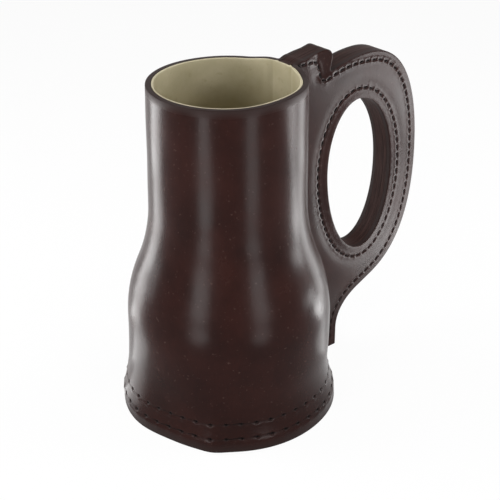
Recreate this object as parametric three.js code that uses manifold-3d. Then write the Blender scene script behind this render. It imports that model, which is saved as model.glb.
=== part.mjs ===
// A sewn leather tankard. One sheet of leather is bent round into the wall, and its two ends turn
// outward and lie on either side of a glued core, to make the seam flange and the handle.
// Millimetres, +Z up, handle towards +X. The origin lies under the middle of the outer box.

import * as THREE from 'three';
import Module from 'manifold-3d';
import { mergeVertices } from 'three/addons/utils/BufferGeometryUtils.js';

const wasm = await Module();
wasm.setup();

// Leather, glue and clearances
const LEATHER = 2.5;
const CORE_PLIES = ['left', 'middle', 'right'];
const GLUE_LINE = 0.05;
const FIT = 0.3;

// Outside of the wall, as radii from the body axis and heights above the table
const BODY_HEIGHT = 165;
const RIM_RADIUS = 36.7;
const NECK_RADIUS = 37.5;
const SHOULDER_TOP = 107;
const SHOULDER_BOTTOM = 47;
const BELLY_RADIUS = 49.6;
const FLARE_TOP = 26;
const FOOT_RADIUS = 53.3;
const FOOT_EDGE = 5;

// Bend where the wall turns outward into the handle, as the radius of its hollow outer side
const BEND_RADIUS = 3;

// Base, a dished piece sewn in with its flange downward, and the coat that lines the cup
const BASE_HEIGHT = 20;
const BASE_BEND = 4;
const LINING = 1;
const LINING_DROP = 0.4;
const LINING_RIB_EDGE = 0.6;

// Finger hole, a leaning oval that is widest above its middle
const HOLE_STANDOFF = 31.2;
const HOLE_TOP_DROP = 25;
const HOLE_BOTTOM = 57;
const HOLE_WIDTH = 44.6;
const HOLE_WIDEST_RISE = 3.5;
const HOLE_LEAN = THREE.MathUtils.degToRad(4.4);

// Outline of the handle round that hole
const GRIP_WIDTH = 18;
const UPPER_STRAP = 22.6;
const CROWN_SHIFT = 3.2;
const CROWN_FULLNESS = 0.64;
const LOWER_STRAP = 19.4;
const HEEL_SHIFT = 12;
const HEEL_SLOPE = THREE.MathUtils.degToRad(25);
const HEEL_FULLNESS = 0.7;
const GRIP_FULLNESS = 0.48;

// Lug above the handle, with a step down to the crown
const LUG_LENGTH = 22.4;
const LUG_LEAN = 1.1;
const LUG_RISE = 4.9;
const LUG_RAMP = 4.5;
const LUG_RAMP_RISE = 2.2;
const LUG_CORNER = 5;
const NOTCH_DROP = 6.6;
const NOTCH_FILLET = 1.2;

// Flange that carries the seam on down to the foot
const FLANGE_WIDTH = 14.7;
const FLANGE_LIFT = 2.6;
const FLANGE_STRAIGHT = 10;
const FLANGE_SPREAD = 15;
const FLANGE_ROOT = 2;

// Stitching; the row at the outer edge leaves it below the crown and climbs inside the lug
const EDGE_MARGIN = 4.4;
const HOLE_MARGIN = 5.6;
const HOLE_ROW_SHIFT = 0.6;
const CROWN_ROW_PULL = 2.3;
const LUG_ROW_DROP = 5;
const LUG_ROW_FOOT = 6;
const LUG_ROW_HEAD = 9.3;
const HANDLE_PITCH = 4.4;
const BASE_STITCHES = 42;
const ROW_MARGIN = 2;
const ROW_SPACING = 7;
const THREAD_WIDTH = 1;
const THREAD_CREST = 0.7;
const THREAD_DIP = 0.25;

// Facets
const WALL_STEPS = 20;
const BEND_STEPS = 4;
const FLARE_STEPS = 4;
const SHOULDER_STEPS = 8;
const LATHE_STEPS = 40;
const CURVE_STEPS = 11;
const ROW_SAMPLES = 400;
const ROW_SLACK = 0.08;

// Sizes that follow
const CORE_HALF = (CORE_PLIES.length * (LEATHER + GLUE_LINE) + GLUE_LINE) / 2;
const CHEEK_FACE = CORE_HALF + LEATHER;
const HOLE_TOP = BODY_HEIGHT - HOLE_TOP_DROP;
const HOLE_X = BELLY_RADIUS + HOLE_STANDOFF;
const HOLE_Z = (HOLE_TOP + HOLE_BOTTOM) / 2;
const HANDLE_REACH = HOLE_X + HOLE_WIDTH / 2 + GRIP_WIDTH;
const CROWN = new THREE.Vector2(HOLE_X + CROWN_SHIFT, HOLE_TOP + UPPER_STRAP);
const HEEL = new THREE.Vector2(HOLE_X + HEEL_SHIFT, HOLE_BOTTOM - LOWER_STRAP);
const FLANGE_REACH = FOOT_RADIUS + FLANGE_WIDTH;
const LUG_REACH = RIM_RADIUS + LUG_LENGTH;
const LUG_TOP = BODY_HEIGHT + LUG_RISE;
const NOTCH_FLOOR = BODY_HEIGHT - NOTCH_DROP;
const UPPER_ROW = BASE_HEIGHT - BASE_BEND - ROW_MARGIN;
const LOWER_ROW = UPPER_ROW - ROW_SPACING;
const INNER_EDGE = LEATHER + FIT;
const CLEAR_CUT = LEATHER;

const leather = new THREE.MeshStandardMaterial({ color: '#3b2725', roughness: 0.42, metalness: 0 });
const cutLeather = new THREE.MeshStandardMaterial({ color: '#2f201e', roughness: 0.5, metalness: 0 });
const coat = new THREE.MeshStandardMaterial({ color: '#a59f88', roughness: 0.35, metalness: 0 });
const thread = new THREE.MeshStandardMaterial({ color: '#2a1a18', roughness: 0.7, metalness: 0 });

// Closed mesh to solid and back
function solid(geometry) {
  const bare = geometry.clone();
  bare.deleteAttribute('normal');
  bare.deleteAttribute('uv');
  const merged = mergeVertices(bare, 1e-4);
  return new wasm.Manifold(new wasm.Mesh({
    numProp: 3,
    vertProperties: new Float32Array(merged.attributes.position.array),
    triVerts: new Uint32Array(merged.index.array),
  }));
}

function geometryOf(body) {
  const mesh = body.getMesh();
  const geometry = new THREE.BufferGeometry();
  geometry.setAttribute('position', new THREE.Float32BufferAttribute(mesh.vertProperties, 3));
  geometry.setIndex(new THREE.Uint32BufferAttribute(mesh.triVerts, 1));
  return geometry;
}

// Climb of a round arc that starts level and rises by `rise` over `run`
function arcClimb(rise, run, along) {
  const radius = (run * run + rise * rise) / (2 * Math.abs(rise));
  return Math.sign(rise) * (radius - Math.sqrt(radius * radius - along * along));
}

// Outside radius of the wall at a height
function wallRadius(z) {
  if (z <= FOOT_EDGE) return FOOT_RADIUS;
  if (z < FLARE_TOP) {
    return BELLY_RADIUS + arcClimb(FOOT_RADIUS - BELLY_RADIUS, FLARE_TOP - FOOT_EDGE, FLARE_TOP - z);
  }
  if (z <= SHOULDER_BOTTOM) return BELLY_RADIUS;
  if (z < SHOULDER_TOP) {
    const run = (SHOULDER_TOP - SHOULDER_BOTTOM) / 2;
    const step = (BELLY_RADIUS - NECK_RADIUS) / 2;
    return z < SHOULDER_BOTTOM + run
      ? BELLY_RADIUS - arcClimb(step, run, z - SHOULDER_BOTTOM)
      : NECK_RADIUS + arcClimb(step, run, SHOULDER_TOP - z);
  }
  const share = Math.min(1, (z - SHOULDER_TOP) / (BODY_HEIGHT - SHOULDER_TOP));
  return THREE.MathUtils.lerp(NECK_RADIUS, RIM_RADIUS, share);
}

// Heights at which the wall is drawn between two levels, closer where it curves
function wallLevels(low, high) {
  const heights = [SHOULDER_TOP, BODY_HEIGHT];
  for (let i = 0; i <= FLARE_STEPS; i += 1) {
    heights.push(THREE.MathUtils.lerp(FOOT_EDGE, FLARE_TOP, i / FLARE_STEPS));
  }
  for (let i = 0; i < SHOULDER_STEPS; i += 1) {
    heights.push(THREE.MathUtils.lerp(SHOULDER_BOTTOM, SHOULDER_TOP, i / SHOULDER_STEPS));
  }
  const inside = heights.filter((z) => z > low + FIT && z < high - FIT);
  return [low, ...inside.sort((a, b) => a - b), high];
}

// Centre and opening angle of the bend between the wall and a cheek of the handle
function bendAt(z) {
  const reach = wallRadius(z) + BEND_RADIUS;
  const offset = CHEEK_FACE + BEND_RADIUS;
  return { x: Math.sqrt(reach * reach - offset * offset), y: offset, angle: Math.asin(offset / reach) };
}

// One half of the wall's section at a height, from the bend to the side away from the handle
function wallHalf(z, depth, bendEnd) {
  const bend = bendAt(z);
  const radius = wallRadius(z) - depth;
  const points = [];
  for (let i = 0; i <= BEND_STEPS; i += 1) {
    const turn = THREE.MathUtils.lerp(bendEnd, bend.angle, i / BEND_STEPS);
    const reach = BEND_RADIUS + depth;
    points.push(new THREE.Vector2(bend.x - reach * Math.cos(turn), bend.y - reach * Math.sin(turn)));
  }
  for (let i = 1; i <= WALL_STEPS; i += 1) {
    const turn = THREE.MathUtils.lerp(bend.angle, Math.PI, i / WALL_STEPS);
    points.push(new THREE.Vector2(radius * Math.cos(turn), radius * Math.sin(turn)));
  }
  return points;
}

// The other half of a section that is alike on both sides of the handle's plane
function withMirror(half) {
  const mirrored = half.slice(0, -1).reverse().map((p) => new THREE.Vector2(p.x, -p.y));
  return [...half, ...mirrored];
}

// Closed solid through sections of equal point count, lowest first
function loft(sections) {
  const count = sections[0].points.length;
  const positions = [];
  const index = [];
  for (const { points, z } of sections) {
    points.forEach((p) => positions.push(p.x, p.y, z));
  }
  for (let level = 0; level + 1 < sections.length; level += 1) {
    for (let i = 0; i < count; i += 1) {
      const a = level * count + i;
      const b = level * count + (i + 1) % count;
      index.push(a, b, b + count, a, b + count, a + count);
    }
  }
  const top = (sections.length - 1) * count;
  for (const [a, b, c] of THREE.ShapeUtils.triangulateShape(sections[0].points, [])) {
    index.push(a, c, b);
  }
  for (const [a, b, c] of THREE.ShapeUtils.triangulateShape(sections.at(-1).points, [])) {
    index.push(top + a, top + b, top + c);
  }
  const geometry = new THREE.BufferGeometry();
  geometry.setAttribute('position', new THREE.Float32BufferAttribute(positions, 3));
  geometry.setIndex(index);
  return geometry;
}

// Outer edge of the handle, seen from the side, from the foot of the flange up to the crown
function traceGripEdge(path) {
  const kneeDrop = (HEEL.x - FLANGE_REACH) * Math.tan(HEEL_SLOPE);
  const spreadDrop = (HEEL.x - FLANGE_REACH - FLANGE_SPREAD) * Math.tan(HEEL_SLOPE);
  const heelPull = HEEL_FULLNESS * (HANDLE_REACH - HEEL.x);
  path.lineTo(FLANGE_REACH, FLANGE_LIFT + FLANGE_STRAIGHT);
  path.quadraticCurveTo(FLANGE_REACH, HEEL.y - kneeDrop, FLANGE_REACH + FLANGE_SPREAD, HEEL.y - spreadDrop);
  path.lineTo(HEEL.x, HEEL.y);
  path.bezierCurveTo(
    HEEL.x + heelPull, HEEL.y + heelPull * Math.tan(HEEL_SLOPE),
    HANDLE_REACH, THREE.MathUtils.lerp(HOLE_Z, HEEL.y, GRIP_FULLNESS),
    HANDLE_REACH, HOLE_Z,
  );
  path.bezierCurveTo(
    HANDLE_REACH, THREE.MathUtils.lerp(HOLE_Z, CROWN.y, CROWN_FULLNESS),
    THREE.MathUtils.lerp(CROWN.x, HANDLE_REACH, CROWN_FULLNESS), CROWN.y,
    CROWN.x, CROWN.y,
  );
}

// The rest of that edge, from the crown over the notch and the lug to the rim
function traceLugEdge(path) {
  const lugFoot = LUG_REACH - LUG_LEAN;
  const notchEnd = lugFoot + NOTCH_FILLET;
  path.quadraticCurveTo((CROWN.x + notchEnd) / 2, CROWN.y, notchEnd, NOTCH_FLOOR);
  path.quadraticCurveTo(lugFoot, NOTCH_FLOOR, lugFoot, NOTCH_FLOOR + NOTCH_FILLET);
  path.lineTo(LUG_REACH, LUG_TOP - LUG_CORNER);
  path.quadraticCurveTo(LUG_REACH, LUG_TOP, LUG_REACH - LUG_CORNER, LUG_TOP);
  const rampEnd = RIM_RADIUS + LUG_RAMP;
  path.lineTo(rampEnd, BODY_HEIGHT + LUG_RAMP_RISE);
  path.quadraticCurveTo(RIM_RADIUS + LUG_RAMP / 2, BODY_HEIGHT + LUG_RAMP_RISE, RIM_RADIUS, BODY_HEIGHT);
}

// The finger hole, or a larger oval at a margin round it that is moved towards the body
function holePath(margin, shift) {
  const path = new THREE.Path();
  const halfHeight = (HOLE_TOP - HOLE_BOTTOM) / 2;
  const wide = HOLE_WIDTH / 2 + margin;
  const x = HOLE_X - shift - HOLE_WIDEST_RISE * Math.sin(HOLE_LEAN);
  const z = HOLE_Z + HOLE_WIDEST_RISE * Math.cos(HOLE_LEAN);
  path.absellipse(x, z, wide, halfHeight - HOLE_WIDEST_RISE + margin, 0, Math.PI, false, HOLE_LEAN);
  path.absellipse(x, z, wide, halfHeight + HOLE_WIDEST_RISE + margin, Math.PI, 2 * Math.PI, false, HOLE_LEAN);
  return path;
}

// Side view of the body and handle, from an edge inside the body, as a slab across Y
function sideSlab(innerEdge, centreY, thickness) {
  const root = bendAt(0).x + FLANGE_ROOT;
  const shape = new THREE.Shape();
  shape.moveTo(innerEdge, 0);
  shape.lineTo(root, 0);
  shape.lineTo(root, FLANGE_LIFT);
  shape.lineTo(FLANGE_REACH, FLANGE_LIFT);
  traceGripEdge(shape);
  traceLugEdge(shape);
  shape.lineTo(innerEdge, BODY_HEIGHT);
  shape.closePath();
  shape.holes.push(holePath(0, 0));
  const slab = new THREE.ExtrudeGeometry(shape, {
    depth: thickness, bevelEnabled: false, curveSegments: CURVE_STEPS,
  });
  slab.translate(0, 0, -thickness / 2);
  slab.rotateX(Math.PI / 2);
  slab.translate(0, centreY, 0);
  return solid(slab);
}

// Round solid that fills the wall to a depth behind its outside, between two levels
function wallPlug(depth, low, high) {
  const profile = wallLevels(low, high).map((z) => new THREE.Vector2(wallRadius(z) - depth, z));
  const closed = [new THREE.Vector2(0, low), ...profile, new THREE.Vector2(0, high)];
  const geometry = new THREE.LatheGeometry(closed, LATHE_STEPS);
  geometry.rotateX(Math.PI / 2);
  return solid(geometry);
}

// The sheet: wall, bends and both cheeks as one piece, cut to the side view
function bodyWrap() {
  const wingEnd = HANDLE_REACH + CLEAR_CUT;
  const sections = wallLevels(0, LUG_TOP + CLEAR_CUT).map((z) => {
    const outer = withMirror([
      new THREE.Vector2(wingEnd, CHEEK_FACE), ...wallHalf(z, 0, Math.PI / 2),
    ]);
    const inner = withMirror([
      new THREE.Vector2(wingEnd, CORE_HALF), ...wallHalf(z, LEATHER, Math.PI / 2),
    ]);
    return { points: [...outer, ...inner.reverse()], z };
  });
  const width = 2 * (FOOT_RADIUS + BELLY_RADIUS);
  return geometryOf(solid(loft(sections)).intersect(sideSlab(-width, 0, width)));
}

// One ply of the core between the cheeks, cut to the inside of the wall
function handleCore(place) {
  const centreY = ((CORE_PLIES.length - 1) / 2 - place) * (LEATHER + GLUE_LINE);
  const cavity = wallPlug(LEATHER, -CLEAR_CUT, LUG_TOP + CLEAR_CUT);
  return geometryOf(sideSlab(0, centreY, LEATHER).subtract(cavity));
}

// Outside of the base: flange, bend and flat top, grown by a gap
function baseProfile(gap, low) {
  const bendStart = BASE_HEIGHT - BASE_BEND;
  const flange = wallLevels(low, bendStart).map((z) => {
    return new THREE.Vector2(wallRadius(z) - INNER_EDGE + gap, z);
  });
  const edge = wallRadius(bendStart) - INNER_EDGE;
  const bend = [];
  for (let i = 1; i <= BEND_STEPS; i += 1) {
    const turn = (Math.PI / 2) * (i / BEND_STEPS);
    const reach = BASE_BEND + gap;
    bend.push(new THREE.Vector2(
      edge - BASE_BEND + reach * Math.cos(turn), bendStart + reach * Math.sin(turn),
    ));
  }
  return [...flange, ...bend];
}

function baseCup() {
  const outer = baseProfile(0, 0);
  const inner = baseProfile(-LEATHER, 0).reverse();
  const closed = [
    ...outer,
    new THREE.Vector2(0, BASE_HEIGHT),
    new THREE.Vector2(0, BASE_HEIGHT - LEATHER),
    ...inner,
    outer[0].clone(),
  ];
  const geometry = new THREE.LatheGeometry(closed, LATHE_STEPS);
  geometry.rotateX(Math.PI / 2);
  return geometryOf(solid(geometry));
}

// Coat inside the cup, with two ribs that fill the hollows beside the core
function lining() {
  const low = BASE_HEIGHT - BASE_BEND;
  const high = BODY_HEIGHT - LINING_DROP;
  const coreSide = CORE_HALF + FIT;
  const sections = wallLevels(low, high).map((z) => {
    const bend = bendAt(z);
    const radius = wallRadius(z) - INNER_EDGE;
    const ribTurn = Math.asin((bend.y - coreSide - LINING_RIB_EDGE) / (BEND_RADIUS + INNER_EDGE));
    const ribEnd = bend.x - (BEND_RADIUS + INNER_EDGE) * Math.cos(ribTurn);
    const half = [
      new THREE.Vector2(Math.sqrt(radius * radius - coreSide * coreSide), coreSide),
      new THREE.Vector2(ribEnd, coreSide),
      ...wallHalf(z, INNER_EDGE, ribTurn),
    ];
    return { points: [new THREE.Vector2(radius, 0), ...withMirror(half)], z };
  });
  const plug = baseProfile(FIT, 0);
  const closed = [new THREE.Vector2(0, 0), ...plug, new THREE.Vector2(0, BASE_HEIGHT + FIT)];
  const base = new THREE.LatheGeometry(closed, LATHE_STEPS);
  base.rotateX(Math.PI / 2);
  const room = wallPlug(INNER_EDGE + LINING, BASE_HEIGHT + FIT + LINING, BODY_HEIGHT + CLEAR_CUT);
  return geometryOf(solid(loft(sections)).subtract(solid(base)).subtract(room));
}

// Thread that lies on a surface and dips at every hole: three-sided, tallest between the holes
function threadBody(stations, closed) {
  const positions = [];
  const index = [];
  stations.forEach(({ point, normal, across }, i) => {
    const height = i % 2 === 0 ? THREAD_DIP : THREAD_CREST;
    const foot = point.clone().addScaledVector(normal, FIT);
    const corners = [
      foot.clone().addScaledVector(across, -THREAD_WIDTH / 2),
      foot.clone().addScaledVector(across, THREAD_WIDTH / 2),
      foot.clone().addScaledVector(normal, height),
    ];
    corners.forEach((corner) => positions.push(corner.x, corner.y, corner.z));
  });
  const sides = 3;
  const spans = closed ? stations.length : stations.length - 1;
  for (let i = 0; i < spans; i += 1) {
    const here = i * sides;
    const next = ((i + 1) % stations.length) * sides;
    for (let k = 0; k < sides; k += 1) {
      const m = (k + 1) % sides;
      index.push(here + k, here + m, next + m, here + k, next + m, next + k);
    }
  }
  if (!closed) {
    const end = (stations.length - 1) * sides;
    index.push(0, 2, 1, end, end + 1, end + 2);
  }
  const geometry = new THREE.BufferGeometry();
  geometry.setAttribute('position', new THREE.Float32BufferAttribute(positions, 3));
  geometry.setIndex(index);
  return geometry;
}

// Evenly spaced points on a flat row, two to a stitch
function stitchPoints(path, closed) {
  const stitches = Math.round(path.getLength() / HANDLE_PITCH);
  const points = path.getSpacedPoints(2 * stitches);
  return closed ? points.slice(0, -1) : points;
}

// Row of stitches on a cheek; side is +1 on the left cheek and -1 on the right one
function cheekThread(points, side, closed) {
  const normal = new THREE.Vector3(0, side, 0);
  const last = points.length - 1;
  const stations = points.map((p, i) => {
    const before = closed ? points[(i + last) % points.length] : points[Math.max(0, i - 1)];
    const after = closed ? points[(i + 1) % points.length] : points[Math.min(last, i + 1)];
    const along = new THREE.Vector3(after.x - before.x, 0, after.y - before.y).normalize();
    const across = new THREE.Vector3().crossVectors(normal, along);
    return { point: new THREE.Vector3(p.x, side * CHEEK_FACE, p.y), normal, across };
  });
  return threadBody(stations, closed);
}

// Row along the outer edge: the grip's edge moved inward, without the points that fall too near it,
// and then on below the crown, up inside the lug and along its top
function edgeRow() {
  const edge = new THREE.Path();
  edge.moveTo(FLANGE_REACH, FLANGE_LIFT);
  traceGripEdge(edge);
  const samples = edge.getSpacedPoints(ROW_SAMPLES);
  const moved = samples.slice(1, -1).map((p, i) => {
    const along = samples[i + 2].clone().sub(samples[i]).normalize();
    return new THREE.Vector2(p.x - along.y * EDGE_MARGIN, p.y + along.x * EDGE_MARGIN);
  });
  const nearest = (p) => Math.min(...samples.map((s) => s.distanceTo(p)));
  const kept = moved.filter((p) => {
    return p.y > FLANGE_LIFT + EDGE_MARGIN && nearest(p) > EDGE_MARGIN - ROW_SLACK;
  });
  const row = new THREE.Path().setFromPoints(kept);
  const corner = new THREE.Vector2(LUG_REACH - LUG_ROW_FOOT, NOTCH_FLOOR - LUG_ROW_DROP);
  const top = LUG_TOP - EDGE_MARGIN;
  row.quadraticCurveTo((CROWN.x + corner.x) / 2, CROWN.y - CROWN_ROW_PULL, corner.x, corner.y);
  row.lineTo(LUG_REACH - LUG_ROW_HEAD, top);
  row.lineTo(bendAt(top).x + THREAD_WIDTH, top);
  return stitchPoints(row, false);
}

// Row round the foot at a height; side is +1 outside the wall and -1 inside the base's flange
function baseThread(z, side) {
  const edges = [wallRadius(z - THREAD_WIDTH / 2), wallRadius(z + THREAD_WIDTH / 2)];
  const radius = side > 0 ? Math.max(...edges) : Math.min(...edges) - INNER_EDGE - LEATHER;
  const start = side > 0 ? bendAt(z).angle : 0;
  const sweep = 2 * (Math.PI - start);
  const closed = side < 0;
  const stations = [];
  for (let i = 0; i < 2 * BASE_STITCHES + (closed ? 0 : 1); i += 1) {
    const turn = start + sweep * i / (2 * BASE_STITCHES);
    const outward = new THREE.Vector3(Math.cos(turn), Math.sin(turn), 0);
    stations.push({
      point: outward.clone().multiplyScalar(radius).setZ(z),
      normal: outward.clone().multiplyScalar(side),
      across: new THREE.Vector3(0, 0, side),
    });
  }
  return threadBody(stations, closed);
}

// Assembly
const tankard = new THREE.Group();
tankard.position.x = (FOOT_RADIUS - HANDLE_REACH) / 2;

function addPiece(name, geometry, material) {
  const mesh = new THREE.Mesh(geometry, material);
  mesh.name = name;
  tankard.add(mesh);
}

addPiece('body_wrap', bodyWrap(), leather);
CORE_PLIES.forEach((side, place) => addPiece(`handle_core_${side}`, handleCore(place), cutLeather));
addPiece('base_cup', baseCup(), leather);
addPiece('lining', lining(), coat);

const edgePoints = edgeRow();
const holePoints = stitchPoints(holePath(HOLE_MARGIN, HOLE_ROW_SHIFT), true);
for (const [name, side] of [['left', 1], ['right', -1]]) {
  addPiece(`edge_seam_thread_${name}`, cheekThread(edgePoints, side, false), thread);
  addPiece(`hole_seam_thread_${name}`, cheekThread(holePoints, side, true), thread);
}
for (const [name, z] of [['upper', UPPER_ROW], ['lower', LOWER_ROW]]) {
  addPiece(`base_${name}_thread_outer`, baseThread(z, 1), thread);
  addPiece(`base_${name}_thread_inner`, baseThread(z, -1), thread);
}

export default tankard;
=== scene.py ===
"""Looks of a sewn leather tankard: a wrap with its handle, a dished base, a coat and waxed stitches.

Metres, +Z up, handle towards +X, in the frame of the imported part. The shaping functions work from the
axis of the body, and each finished mesh is then moved to where that axis stands.
"""

import math

import bmesh
import bpy
from mathutils import Matrix, Vector, kdtree, noise
from mathutils.geometry import delaunay_2d_cdt


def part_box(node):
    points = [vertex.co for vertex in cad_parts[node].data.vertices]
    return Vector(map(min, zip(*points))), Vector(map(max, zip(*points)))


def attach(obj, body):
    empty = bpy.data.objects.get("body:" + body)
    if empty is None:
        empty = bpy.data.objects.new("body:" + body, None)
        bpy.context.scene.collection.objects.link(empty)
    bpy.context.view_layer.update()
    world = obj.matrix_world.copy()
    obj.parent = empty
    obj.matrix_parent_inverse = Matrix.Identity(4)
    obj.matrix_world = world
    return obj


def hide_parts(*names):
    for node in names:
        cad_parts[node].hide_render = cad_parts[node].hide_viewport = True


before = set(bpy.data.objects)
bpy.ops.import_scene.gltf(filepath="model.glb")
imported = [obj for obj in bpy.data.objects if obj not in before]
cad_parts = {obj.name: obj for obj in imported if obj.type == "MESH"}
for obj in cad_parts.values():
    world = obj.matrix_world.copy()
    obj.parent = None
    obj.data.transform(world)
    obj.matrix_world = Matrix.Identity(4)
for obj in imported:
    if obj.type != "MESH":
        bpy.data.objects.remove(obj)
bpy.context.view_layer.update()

MM = 0.001

# Sizes read from the frame
wrap_low, wrap_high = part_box("body_wrap")
base_low, base_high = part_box("base_cup")
ply_low, ply_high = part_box("handle_core_middle")
left_ply_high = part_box("handle_core_left")[1]
AXIS_X = (base_low.x + base_high.x) / 2
TO_FRAME = Matrix.Translation((AXIS_X, 0, 0))
FOOT_RADIUS = AXIS_X - wrap_low.x
HANDLE_REACH = wrap_high.x - AXIS_X
LUG_TOP = wrap_high.z
BASE_HEIGHT = base_high.z
LEATHER = ply_high.y - ply_low.y

# Sheet and glue
GLUE_LINE = 0.05 * MM
FIT = 0.3 * MM
CORE_HALF = left_ply_high.y + GLUE_LINE
CHEEK_FACE = CORE_HALF + LEATHER
INNER_EDGE = LEATHER + FIT
FACE_ROUND = 0.4 * MM
BACK_ROUND = 0.03 * MM
FACE_ROUND_STEPS = 4
BACK_ROUND_STEPS = 1
PLY_ROUND = 0.03 * MM
PLY_SHRINK = {"left": 0.03 * MM, "middle": 0.0, "right": 0.02 * MM}

# Outside of the wall
LUG_RISE = 4.9 * MM
BODY_HEIGHT = LUG_TOP - LUG_RISE
RIM_RADIUS = 36.7 * MM
NECK_RADIUS = 37.5 * MM
SHOULDER_TOP = 107 * MM
SHOULDER_BOTTOM = 47 * MM
BELLY_RADIUS = 49.6 * MM
FLARE_TOP = 26 * MM
FOOT_EDGE = 5 * MM
BEND_RADIUS = 1.4 * MM
BEND_OFFSET = CHEEK_FACE + BEND_RADIUS

# Finger hole
HOLE_STANDOFF = 31.2 * MM
HOLE_TOP_DROP = 25 * MM
HOLE_BOTTOM = 57 * MM
HOLE_WIDTH = 44.6 * MM
HOLE_WIDEST_RISE = 3.5 * MM
HOLE_LEAN = math.radians(4.4)
HOLE_TOP = BODY_HEIGHT - HOLE_TOP_DROP
HOLE_X = BELLY_RADIUS + HOLE_STANDOFF
HOLE_Z = (HOLE_TOP + HOLE_BOTTOM) / 2
HOLE_HALF = (HOLE_TOP - HOLE_BOTTOM) / 2

# Outline of the handle, the lug and the flange
CROWN = Vector((HOLE_X + 3.2 * MM, HOLE_TOP + 22.6 * MM))
CROWN_FULLNESS = 0.64
HEEL = Vector((HOLE_X + 12 * MM, HOLE_BOTTOM - 19.4 * MM))
HEEL_SLOPE = math.tan(math.radians(25))
HEEL_FULLNESS = 0.7
GRIP_FULLNESS = 0.48
LUG_REACH = RIM_RADIUS + 22.4 * MM
LUG_LEAN = 1.1 * MM
LUG_RAMP = 4.5 * MM
LUG_RAMP_RISE = 2.7 * MM
LUG_CORNER = 5 * MM
NOTCH_FLOOR = BODY_HEIGHT - 6.6 * MM
NOTCH_FILLET = 1.2 * MM
FLANGE_REACH = FOOT_RADIUS + 14.7 * MM
FLANGE_LIFT = 2.6 * MM
FLANGE_STRAIGHT = 10 * MM
FLANGE_SPREAD = 15 * MM
FLANGE_ROOT = 2 * MM

# Stitching
EDGE_MARGIN = 4.4 * MM
HOLE_MARGIN = 5.6 * MM
HOLE_ROW_SHIFT = 0.6 * MM
CROWN_ROW_PULL = 2.3 * MM
LUG_ROW_DROP = 5 * MM
LUG_ROW_FOOT = 6 * MM
LUG_ROW_HEAD = 9.3 * MM
HANDLE_PITCH = 4.4 * MM
BASE_PITCH = 7.3 * MM
BASE_STITCHES = 42
BASE_BEND = 4 * MM
UPPER_ROW = BASE_HEIGHT - BASE_BEND - 2 * MM
LOWER_ROW = UPPER_ROW - 7 * MM
ROW_SLACK = 0.1 * MM
ROW_START = 1 * MM
THREAD_RADIUS = 0.38 * MM
THREAD_SINK = 0.36 * MM
BASE_SINK = 0.36 * MM
THREAD_SIDES = 6
THREAD_WAIST = 0.72
THREAD_TWIST = math.radians(34)
STITCH_SLANT = math.radians(9)
THREAD_SLANT = STITCH_SLANT / 2

# Half a stitch from its start to its middle, as (share of its length, height)
HANDLE_PATH = [
    (0.17, -0.9 * MM),
    (0.2, -0.45 * MM),
    (0.26, -0.08 * MM),
    (0.37, 0.04 * MM),
    (0.48, 0.06 * MM),
]
BASE_PATH = [
    (0.0, -0.8 * MM),
    (0.03, -0.4 * MM),
    (0.1, 0.0),
    (0.24, 0.03 * MM),
    (0.42, 0.04 * MM),
]

# Relief that sewing and edging press into the leather
EDGE_RISE = 0.04 * MM
EDGE_EASE = 1.4
ROW_PULL = 0.35 * MM
HOLE_CURL = 0.45 * MM
ROW_PULL_REACH = 6 * MM
LUG_PULL = 0.7 * MM
LUG_CURL = 0.2 * MM
LUG_FADE = 3 * MM
PILLOW = 0.12 * MM
PILLOW_RISE = 5 * MM
BED = 0.5 * MM
BED_HALF = 1.25 * MM
BED_SQUARENESS = 4
BED_WIDTH = 0.46 * MM
CREASE = 0.06 * MM
CREASE_WIDTH = 0.3 * MM
CREASE_END = 0.6
CREASE_FADE = 0.1
# The next share darkens the creases along a cheek's rows as painted shade; the stitch beds are darkened
# as painted shade in full
CREASE_SHADE = 0.2
LIP = 0.09 * MM
LIP_REACH = 1.15 * MM
LIP_WIDTH = 0.5 * MM
LIP_END = 0.7
LIP_FADE = 0.2
BRIDGE = 0.13 * MM
BRIDGE_LENGTH = 0.65 * MM
BEND_FADE = 2.5 * MM
# Painted shade along the crease where a bend meets its cheek: its width on the bend, as a share, and its
# reach on the cheek
FOLD_SHADE_WIDTH = 0.45
FOLD_SHADE_REACH = 2 * MM
PIT = 0.8 * MM
PIT_LENGTH = 0.75 * MM
PIT_WIDTH = 0.6 * MM
BASE_LIP = 0.3 * MM
BASE_LIP_WIDTH = 0.6 * MM
BASE_LIP_LENGTH = 1.3 * MM
# Share of painted shade in the creases along the rows round the foot; their pits are darkened as painted
# shade in full
BASE_CREASE_SHADE = 0.35
BASE_RELIEF_REACH = 3 * MM

# Hand-formed departures from a true circle and a level rim, by the angle round the body
FOOT_FLAT = 1.8 * MM
FOOT_FLAT_TURN = math.radians(196)
FOOT_FLAT_SPREAD = math.radians(17)
FOOT_CORNER = 1.1 * MM
FOOT_CORNER_TURN = math.radians(222)
FOOT_CORNER_SPREAD = math.radians(7)
FLARE_SHIFT = 0.9 * MM
FLARE_SHIFT_TURN = math.radians(140)
FLARE_SHIFT_HEIGHT = 16 * MM
FLARE_SHIFT_SPREAD = 14 * MM
WAVER = 0.22 * MM
WAVER_SCALE = 28
WAVER_LUMPS = 1.7
TRUE_BESIDE_HANDLE = 0.3
BASE_FOLLOW = 4
RIM_CLIMB = 1.4 * MM
RIM_CLIMB_START = math.radians(36)
RIM_CLIMB_SPAN = math.radians(22)
RIM_SWELL = 1.1 * MM
RIM_SWELL_TURN = math.radians(285)
RIM_SWELL_SPREAD = math.radians(35)
RIM_LIFT_DEPTH = 12 * MM

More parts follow.
